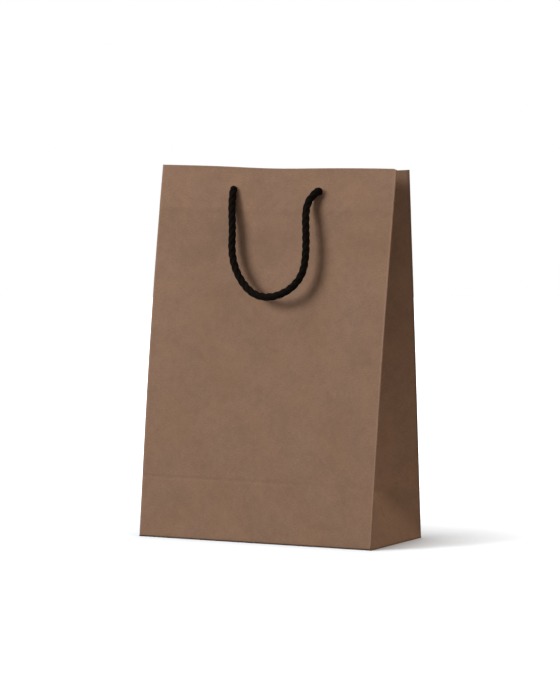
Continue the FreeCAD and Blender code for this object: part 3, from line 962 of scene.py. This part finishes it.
class Nodes:
    """Short ways to add and join the nodes of one material."""

    def __init__(self, name):
        self.material = bpy.data.materials.new(name)
        self.material.use_nodes = True
        self.tree = self.material.node_tree
        self.shader = self.tree.nodes["Principled BSDF"]

    def add(self, kind, **settings):
        """A new node with some inputs or settings."""
        node = self.tree.nodes.new(kind)
        for key, value in settings.items():
            if key in node.inputs:
                node.inputs[key].default_value = value
            else:
                setattr(node, key, value)
        return node

    def feed(self, socket, value):
        """Joins an input to a node's output, or sets it to a number or a colour."""
        if isinstance(value, bpy.types.NodeSocket):
            self.tree.links.new(value, socket)
        elif isinstance(value, tuple):
            socket.default_value = (*value, 1.0)
        else:
            socket.default_value = value

    def surface(self, name, value):
        """Feeds one of the shader's own inputs."""
        self.feed(self.shader.inputs[name], value)

    def noise(self, place, scale, detail, stretch=(1, 1, 1), roughness=0.55):
        """Noise over a stretched place, with a scale in grains for each metre."""
        mapping = self.add("ShaderNodeMapping", Scale=stretch)
        self.feed(mapping.inputs["Vector"], place)
        node = self.add("ShaderNodeTexNoise", Scale=scale, Detail=detail, Roughness=roughness)
        self.feed(node.inputs["Vector"], mapping.outputs[0])
        return node.outputs["Fac"]

    def spread(self, value, low, high, start=0.3, end=0.7):
        """The value spread from low to high, as it goes from start to end."""
        node = map_range(self.tree, start, end, low, high)
        self.feed(node.inputs["Value"], value)
        return node.outputs[0]

    def math(self, operation, first, second):
        """A sum, product or the like of two values."""
        node = self.add("ShaderNodeMath", operation=operation)
        self.feed(node.inputs[0], first)
        self.feed(node.inputs[1], second)
        return node.outputs[0]

    def mix(self, share, first, second, blend="MIX"):
        """Two colours mixed."""
        node = self.add("ShaderNodeMix", data_type="RGBA", blend_type=blend)
        for index, value in {0: share, 6: first, 7: second}.items():
            self.feed(node.inputs[index], value)
        return node.outputs[2]

    def bump(self, height, distance):
        """Roughens the surface by a height."""
        node = self.add("ShaderNodeBump", Strength=1.0, Distance=distance)
        self.feed(node.inputs["Height"], height)
        self.surface("Normal", node.outputs[0])


def kraft_paper():
    """Brown kraft: cloudy pulp, fine fibres across the sheet, flecks, pale rubbed folds with a
    painted highlight, and painted shade on the darker folds, creases, top edge and foot.
    """
    nodes = Nodes("kraft_paper")
    place = nodes.add("ShaderNodeUVMap", uv_map="flat_paper").outputs[0]
    cloud = nodes.noise(place, 34, 2)
    mottle = nodes.noise(place, 150, 3)
    tint = nodes.noise(place, 30, 3, stretch=(1, 0.6, 1))
    pulp = nodes.noise(place, 640, 4)
    fibre = nodes.noise(place, 1500, 2, stretch=(0.22, 1, 1), roughness=0.7)
    fleck = nodes.noise(place, 900, 1, stretch=(0.35, 1, 1))
    colour = nodes.mix(nodes.spread(tint, 0, 1), KRAFT_COOL, KRAFT_WARM)
    light = nodes.spread(cloud, 0.94, 1.06)
    for grain, depth in ((mottle, 0.05), (pulp, 0.06), (fibre, 0.09)):
        light = nodes.math("MULTIPLY", light, nodes.spread(grain, 1 - depth, 1 + depth))
    shade = nodes.add("ShaderNodeCombineColor")
    for socket in shade.inputs:
        nodes.feed(socket, light)
    colour = nodes.mix(1.0, colour, shade.outputs[0], "MULTIPLY")
    colour = nodes.mix(nodes.spread(fleck, 0.0, 0.35, 0.70, 0.80), colour, KRAFT_FLECK_AND_SHADE)
    # Below 0 painted shade, above 0 rubbed paper with a painted highlight.
    wear = nodes.add("ShaderNodeAttribute", attribute_name="wear").outputs["Fac"]
    rubbed_and_highlight = nodes.math("MAXIMUM", wear, 0.0)
    rubbed_and_highlight = nodes.math("MULTIPLY", rubbed_and_highlight, nodes.spread(pulp, 0.25, 0.6))
    colour = nodes.mix(rubbed_and_highlight, colour, KRAFT_RUBBED_AND_HIGHLIGHT)
    # Painted shade, mixed towards the fleck colour.
    painted_shade = nodes.math("MAXIMUM", nodes.math("MULTIPLY", wear, -1.0), 0.0)
    colour = nodes.mix(nodes.math("MULTIPLY", painted_shade, 0.7), colour, KRAFT_FLECK_AND_SHADE)
    nodes.surface("Base Color", colour)
    nodes.surface("Roughness", nodes.spread(pulp, 0.78, 0.92))
    nodes.surface("Specular IOR Level", 0.25)
    height = nodes.math("MULTIPLY", fibre, 0.5)
    for grain, weight in ((pulp, 0.8), (cloud, 1.5)):
        height = nodes.math("ADD", height, nodes.math("MULTIPLY", grain, weight))
    nodes.bump(height, 0.10 * MM)
    return nodes.material


def grey_board():
    """Recycled board: grey-brown pulp with flecks."""
    nodes = Nodes("grey_board")
    place = nodes.add("ShaderNodeTexCoord").outputs["Object"]
    pulp = nodes.noise(place, 300, 4)
    fleck = nodes.noise(place, 900, 1)
    colour = nodes.mix(nodes.spread(pulp, 0, 1), BOARD_DARK, BOARD_PALE)
    colour = nodes.mix(nodes.spread(fleck, 0, 0.5, 0.66, 0.76), colour, BOARD_FLECK)
    nodes.surface("Base Color", colour)
    nodes.surface("Roughness", 0.9)
    nodes.bump(pulp, 0.08 * MM)
    return nodes.material


def black_rope():
    """Black cord: fine fibres along the yarns, with a soft sheen."""
    nodes = Nodes("black_rope")
    place = nodes.add("ShaderNodeUVMap", uv_map="flat_paper").outputs[0]
    fibre = nodes.noise(place, 2600, 3, stretch=(1, 0.15, 1))
    patch = nodes.noise(place, 300, 2)
    colour = nodes.mix(nodes.spread(patch, 0, 1), ROPE_DARK, ROPE_PALE)
    colour = nodes.mix(nodes.spread(fibre, 0, 0.5), colour, ROPE_FIBRE)
    nodes.surface("Base Color", colour)
    nodes.surface("Roughness", 0.7)
    nodes.surface("Specular IOR Level", 0.03)
    nodes.bump(fibre, 0.12 * MM)
    return nodes.material


def white_floor():
    """A white studio floor, which glows more and more away from the bag's foot, so that it
    meets the white background without an edge; it glows least right by the foot, which leaves
    painted shade round it."""
    nodes = Nodes("white_floor")
    nodes.surface("Base Color", FLOOR_WHITE)
    nodes.surface("Roughness", 0.9)
    nodes.surface("Specular IOR Level", 0.0)
    nodes.surface("Emission Color", (1.0, 1.0, 1.0))
    place = nodes.add("ShaderNodeTexCoord").outputs["Object"]
    zero, foot = (0, 0, 0), (HALF_WIDTH, HALF_DEPTH, 0)
    for operation, second in (("ABSOLUTE", zero), ("SUBTRACT", foot), ("MAXIMUM", zero)):
        node = nodes.add("ShaderNodeVectorMath", operation=operation)
        node.inputs[1].default_value = second
        nodes.feed(node.inputs[0], place)
        place = node.outputs[0]
    away = nodes.add("ShaderNodeVectorMath", operation="LENGTH")
    nodes.feed(away.inputs[0], place)
    share = nodes.spread(away.outputs["Value"], 0.0, 1.0, 0.0, GLOW_REACH)
    glow = nodes.math("POWER", share, GLOW_RISE)
    nodes.surface("Emission Strength", glow)
    return nodes.material


# ---- the bottom ----

PLATE_PARTS = 30
PLATE_LIFT = 0.04 * MM
PLATE_GAP = 0.1 * MM
FLAP_LAYER = PAPER + PLATE_GAP
FLAP_OVERLAP = 10 * MM
FLAP_INSET = 0.8 * MM
BASE_CARD = 1.2 * MM
BASE_CARD_INSET = 2.5 * MM


def bottom_plate(name, corners, low, thickness, material):
    """A flat four-sided piece of the bottom, given by its corners in order round it."""
    shares = [k / PLATE_PARTS for k in range(PLATE_PARTS + 1)]
    grid = Grid(shares, shares)
    a, b, c, d = (np.array(corner) for corner in corners)
    flat = [((1 - v) * ((1 - u) * a + u * b) + v * ((1 - u) * d + u * c)) for u, v in grid.points]
    outer, inner = [], []
    for x, y in flat:
        lift = PLATE_LIFT * (1 + math.sin(x * 90) * math.sin(y * 110))
        outer.append(Vector((x, y, low + lift)))
        inner.append(Vector((x, y, low + lift + thickness)))
    wear = [0.0] * len(flat)
    return shell(name, outer, inner, grid.faces, [tuple(p) for p in flat], wear, material)


def bottom_flap(name, corners, low, material):
    """A paper flap of the folded bottom."""
    piece = bottom_plate(f"bottom_{name}_paper", corners, low, PAPER, material)
    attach(piece, "base")
    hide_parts(f"bottom_{name}_flap")


def long_flap_corners(side):
    """The corners of the flap that folds in from a wall, past the bottom's middle line."""
    crease = side * (HALF_DEPTH - BOTTOM_RADIUS - FLAP_LAYER)
    tip = HALF_WIDTH - HALF_DEPTH - FLAP_OVERLAP
    past = -side * FLAP_OVERLAP
    return [(-HALF_WIDTH, crease), (HALF_WIDTH, crease), (tip, past), (-tip, past)]


def end_flap_corners(end):
    """The corners of the flap that folds in from a gusset."""
    crease = end * (HALF_WIDTH - PLATE_GAP)
    tip = end * (HALF_WIDTH - HALF_DEPTH)
    edge = HALF_DEPTH - FLAP_INSET
    return [(crease, -edge), (crease, edge), (tip, 0.6 * edge), (tip, -0.6 * edge)]


def base_card(level, material):
    """The board glued over the flaps inside."""
    across, along = HALF_WIDTH - BASE_CARD_INSET, HALF_DEPTH - BASE_CARD_INSET
    corners = [(-across, -along), (across, -along), (across, along), (-across, along)]
    piece = bottom_plate("base_board", corners, level, BASE_CARD, material)
    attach(piece, "base")
    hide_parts("base_card")


def bottom(kraft, board):
    """The folded bottom from below: the front and the back flap, two end flaps and the card."""
    for layers, side in enumerate((FRONT, BACK)):
        bottom_flap(WALL_NAME[side], long_flap_corners(side), layers * FLAP_LAYER, kraft)
    for end in (LEFT, RIGHT):
        bottom_flap(END_NAME[end], end_flap_corners(end), 2 * FLAP_LAYER, kraft)
    base_card(3 * FLAP_LAYER, board)


# ---- the stage ----

CAMERA_YAW = math.radians(26.88)
CAMERA_PITCH = math.radians(4.62)
CAMERA_DISTANCE = 3.742
CAMERA_LENS = 225.65
CAMERA_AIM = WALL_HEIGHT / 2 + 0.5 * MM
CAMERA_SENSOR = 36.0
FLOOR_RADIUS = 3.0
FLOOR_SIDES = 96
HORIZON = (-0.1, 0.4)
GROUND_LIGHT = 0.06
SKY_LIGHT = 0.24
SKY_TINT = (1.0, 0.88, 0.78)
SIDE_TINT = (1.0, 0.88, 0.76)


def aim(data, height, yaw, rise, distance):
    """Stands a camera or a light off from a height on the bag's axis and turns it that way.
    Yaw 0 is in front of the bag."""
    level = math.cos(rise)
    away = Vector((math.sin(yaw) * level, -math.cos(yaw) * level, math.sin(rise)))
    item = bpy.data.objects.new(data.name, data)
    item.location = Vector((0, 0, height)) + away * distance
    item.rotation_mode = "QUATERNION"
    item.rotation_quaternion = (-away).to_track_quat("-Z", "Y")
    bpy.context.scene.collection.objects.link(item)
    return item


def camera():
    """The camera looks at the bag's middle height from the front right."""
    data = bpy.data.cameras.new("camera")
    data.lens = CAMERA_LENS
    data.sensor_width = CAMERA_SENSOR
    item = aim(data, CAMERA_AIM, CAMERA_YAW, CAMERA_PITCH, CAMERA_DISTANCE)
    bpy.context.scene.camera = item


def area_light(name, yaw, rise, distance, size, power, tint=(1, 1, 1)):
    """A round soft light that faces the bag's middle, with its angles in degrees."""
    data = bpy.data.lights.new(name, "AREA")
    data.shape = "DISK"
    data.size = size
    data.energy = power
    data.color = tint
    aim(data, WALL_HEIGHT / 2, math.radians(yaw), math.radians(rise), distance)


def studio_world():
    """White to look at, with a softer and slightly warm light from above and little from below."""
    world = bpy.data.worlds.new("studio")
    world.use_nodes = True
    tree = world.node_tree
    seen = tree.nodes["Background"]
    seen.inputs[0].default_value = (1, 1, 1, 1)
    seen.inputs[1].default_value = 1.0
    place = tree.nodes.new("ShaderNodeTexCoord")
    split = tree.nodes.new("ShaderNodeSeparateXYZ")
    height = map_range(tree, *HORIZON, GROUND_LIGHT, SKY_LIGHT)
    light = tree.nodes.new("ShaderNodeBackground")
    light.inputs[0].default_value = (*SKY_TINT, 1)
    path = tree.nodes.new("ShaderNodeLightPath")
    mix = tree.nodes.new("ShaderNodeMixShader")
    tree.links.new(place.outputs["Generated"], split.inputs[0])
    tree.links.new(split.outputs["Z"], height.inputs["Value"])
    tree.links.new(height.outputs[0], light.inputs[1])
    tree.links.new(path.outputs["Is Camera Ray"], mix.inputs[0])
    tree.links.new(light.outputs[0], mix.inputs[1])
    tree.links.new(seen.outputs[0], mix.inputs[2])
    tree.links.new(mix.outputs[0], tree.nodes["World Output"].inputs[0])
    bpy.context.scene.world = world


def stage():
    """A white floor, a pale world and the studio lights."""
    mesh = bpy.data.meshes.new("floor")
    turns = [2 * math.pi * k / FLOOR_SIDES for k in range(FLOOR_SIDES)]
    rim = [(FLOOR_RADIUS * math.cos(turn), FLOOR_RADIUS * math.sin(turn), 0) for turn in turns]
    mesh.from_pydata(rim, [], [tuple(range(FLOOR_SIDES))])
    floor = link(mesh, "floor", white_floor())
    floor.visible_diffuse = False
    studio_world()
    bpy.context.scene.view_settings.view_transform = "Standard"
    area_light("key", yaw=-44, rise=25, distance=5.0, size=2.2, power=212)
    area_light("top", yaw=-62, rise=72, distance=3.0, size=1.9, power=42)
    area_light("side", yaw=88, rise=35, distance=3.0, size=2.0, power=36, tint=SIDE_TINT)
    area_light("back", yaw=200, rise=30, distance=3.0, size=2.0, power=26)


# ---- the bag ----


def build():
    """Makes every piece of the bag."""
    camera()
    kraft, board, rope = kraft_paper(), grey_board(), black_rope()
    handle(WALLS[FRONT], FRONT_LOOP, rope)
    handle(WALLS[BACK], BACK_LOOP, rope)
    for wall in WALLS.values():
        wall_sheet(wall, kraft)
        top_card(wall, board)
        for end in (LEFT, RIGHT):
            knot(wall, end, rope)
            half_gusset(end, wall, kraft)
            gusset_hem(end, wall, kraft)
    side_seam(kraft)
    bottom(kraft, board)
    stage()


build()
